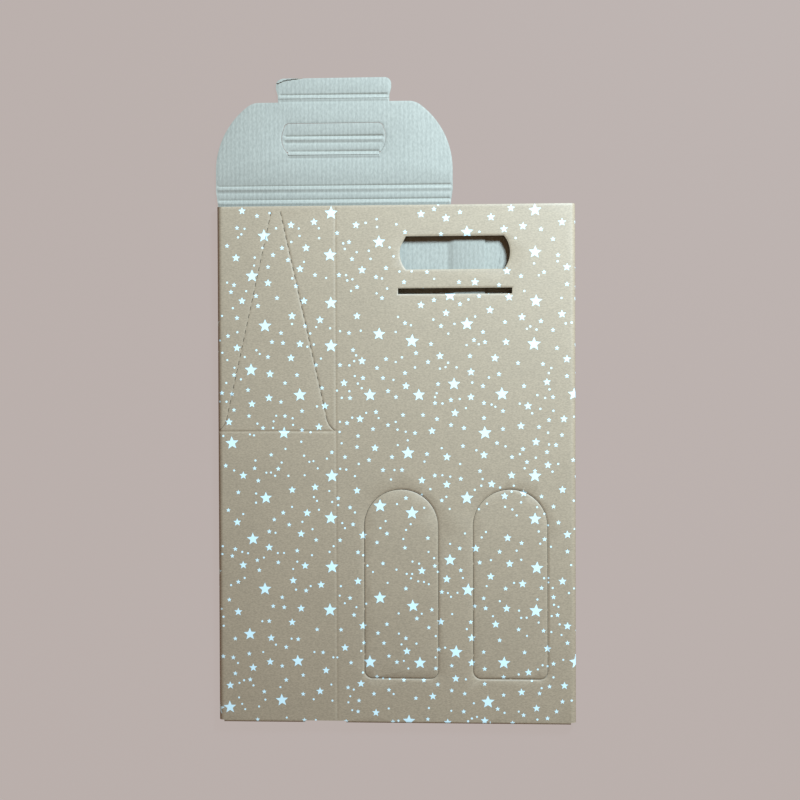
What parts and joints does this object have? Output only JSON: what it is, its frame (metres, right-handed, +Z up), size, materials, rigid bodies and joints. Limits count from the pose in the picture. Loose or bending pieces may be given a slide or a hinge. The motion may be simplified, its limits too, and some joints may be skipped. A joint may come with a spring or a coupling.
{
  "type": "bottle shipping box",
  "caption": "Flat-folded carrier carton of thin corrugated board for wine bottles, with lid, tuck tab, hand hole, arched windows and a crash-lock bottom.",
  "frame": {"origin": "centre of the underside of the whole flat carton, on the surface it lies on", "axes": "+X across the folded tube towards the front panel's fold, +Y from the bottom edge to the lid's tab, +Z up through the layers"},
  "size_m": [0.2714, 0.488, 0.008],
  "materials": {
    "board": "matte"
  },
  "bodies": {
    "carton": {"carton": "board"},
    "lid_spine": {"lid_spine": "board"},
    "lid_panel": {"lid_panel": "board"},
    "tuck_tab": {"tuck_tab": "board"},
    "grip_bridge": {"grip_bridge": "board"},
    "grip_tip": {"grip_tip": "board"}
  },
  "joints": [
    {"name": "spine_fold", "type": "hinge", "parent": "carton", "child": "lid_spine", "pos_m": [-0.04575, 0.14959, 0.00075], "axis": [1, 0, 0], "range_deg": [0, 90]},
    {"name": "lid_fold", "type": "hinge", "parent": "lid_spine", "child": "lid_panel", "pos_m": [-0.04575, 0.16009, 0.00075], "axis": [1, 0, 0], "range_deg": [0, 55]},
    {"name": "tab_fold", "type": "hinge", "parent": "lid_panel", "child": "tuck_tab", "pos_m": [-0.04575, 0.22969, 0.00075], "axis": [1, 0, 0], "range_deg": [0, 90]},
    {"name": "grip_fold", "type": "hinge", "parent": "lid_panel", "child": "grip_bridge", "pos_m": [-0.04575, 0.18709, 0.00075], "axis": [1, 0, 0], "range_deg": [0, 90]},
    {"name": "grip_tip_fold", "type": "hinge", "parent": "grip_bridge", "child": "grip_tip", "pos_m": [-0.04575, 0.19869, 0.00075], "axis": [1, 0, 0], "range_deg": [0, 90]}
  ]
}
